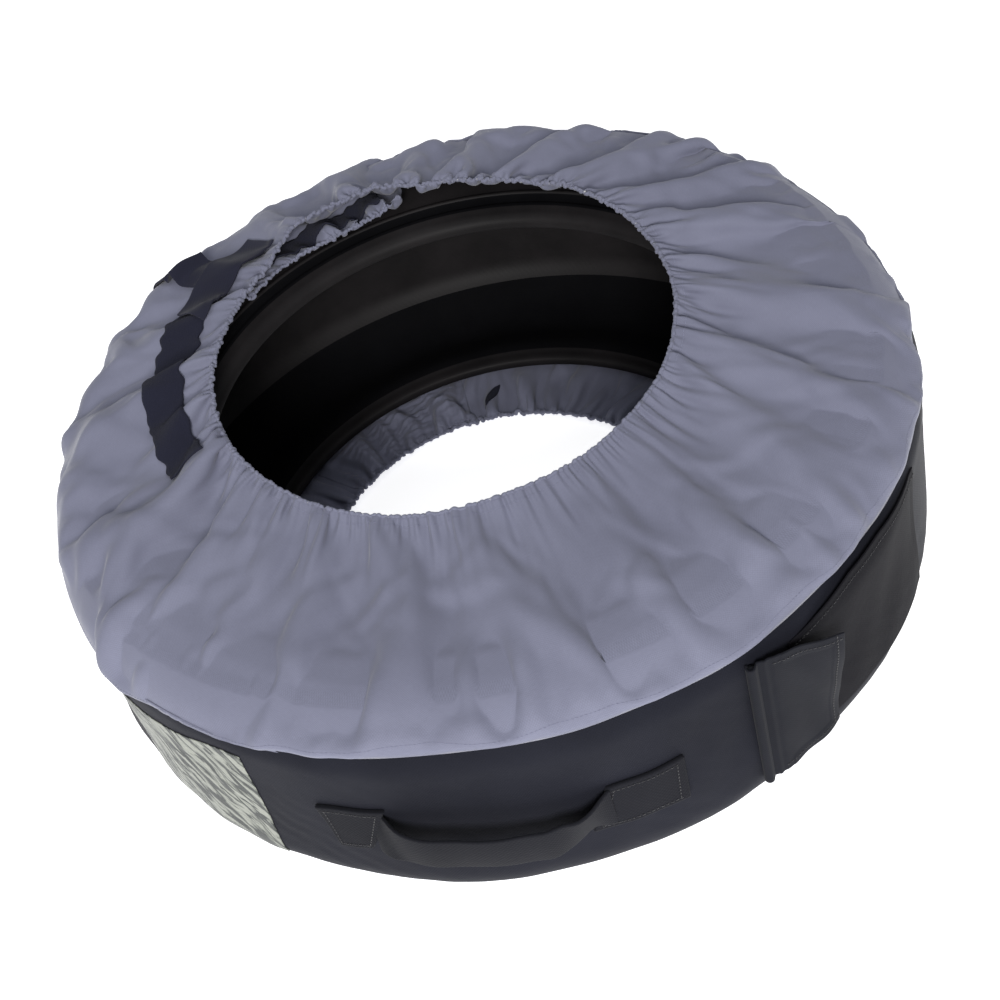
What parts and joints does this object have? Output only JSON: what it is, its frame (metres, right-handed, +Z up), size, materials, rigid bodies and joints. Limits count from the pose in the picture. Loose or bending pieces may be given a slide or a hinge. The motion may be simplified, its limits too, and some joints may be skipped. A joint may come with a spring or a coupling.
{
  "type": "wheel cover",
  "caption": "Fabric cover over a tyre lying on its side: elastic openings, side wall, closing strap and flap, carrying handle, pull tab.",
  "frame": {"origin": "centre of the cover's base, on the floor", "axes": "+Z up along the tyre's axis, the carrying handle faces -Y"},
  "size_m": [0.656, 0.6804, 0.2205],
  "materials": {
    "panel_fabric": "thin woven polyester, slate grey, slight sheen",
    "wall_fabric": "heavier woven polyester, charcoal, matt",
    "webbing": "ribbed webbing, near black",
    "hook_and_loop": "hook-and-loop tape, near black, fuzzy",
    "binding_tape": "folded binding tape",
    "stitch_thread": "sewing thread",
    "patch_print": "light fabric with a dark printed pattern",
    "elastic_cord": "covered elastic cord",
    "tyre_rubber": "moulded rubber, matt",
    "steel_cord": "steel cord"
  },
  "bodies": {
    "root": {"tyre_casing": "tyre_rubber", "upper_bead_core": "steel_cord", "lower_bead_core": "steel_cord", "tyre_belt": "steel_cord", "tyre_tread": "tyre_rubber", "side_wall": "wall_fabric", "top_panel": "panel_fabric", "bottom_panel": "panel_fabric", "upper_seam_binding": "binding_tape", "lower_seam_binding": "binding_tape", "top_hem": "panel_fabric", "tongue_hem": "panel_fabric", "top_elastic": "elastic_cord", "bottom_hem": "panel_fabric", "bottom_elastic": "elastic_cord", "panel_tongue": "panel_fabric", "tongue_tape": "hook_and_loop", "upper_loop_tape": "hook_and_loop", "lower_tape": "hook_and_loop", "lower_tongue": "panel_fabric", "tab_anchor": "webbing", "strap_root": "wall_fabric", "flap_piping": "wall_fabric", "handle_end_left": "webbing", "handle_end_right": "webbing", "handle_stitching": "stitch_thread", "pattern_patch": "patch_print"},
    "flap": {"closing_flap": "wall_fabric", "flap_hook_tape": "hook_and_loop"},
    "strap": {"closing_strap": "wall_fabric", "strap_loop_tape": "hook_and_loop"},
    "tab": {"pull_tab": "webbing", "tab_hook_patch": "hook_and_loop"},
    "handle": {"carry_handle": "webbing"}
  },
  "joints": [
    {"name": "flap_open", "type": "hinge", "parent": "root", "child": "flap", "pos_m": [0.18055, -0.28107, 0.0995], "axis": [0, 0, -1], "range_deg": [0, 135]},
    {"name": "strap_open", "type": "hinge", "parent": "root", "child": "strap", "pos_m": [0.29457, -0.15009, 0.106], "axis": [0, 0, 1], "range_deg": [0, 27]},
    {"name": "tab_peel", "type": "hinge", "parent": "root", "child": "tab", "pos_m": [-0.22219, 0.17928, 0.1986], "axis": [-0.628, -0.7782, 0], "range_deg": [0, 110]},
    {"name": "handle_lift", "type": "hinge", "parent": "root", "child": "handle", "pos_m": [-0.00799, -0.3269, 0.112], "axis": [-0.9997, 0.0244, 0], "range_deg": [0, 80]}
  ],
  "couplings": [
    {"joint": "strap_open", "follows": "flap_open", "ratio": 0.2}
  ]
}
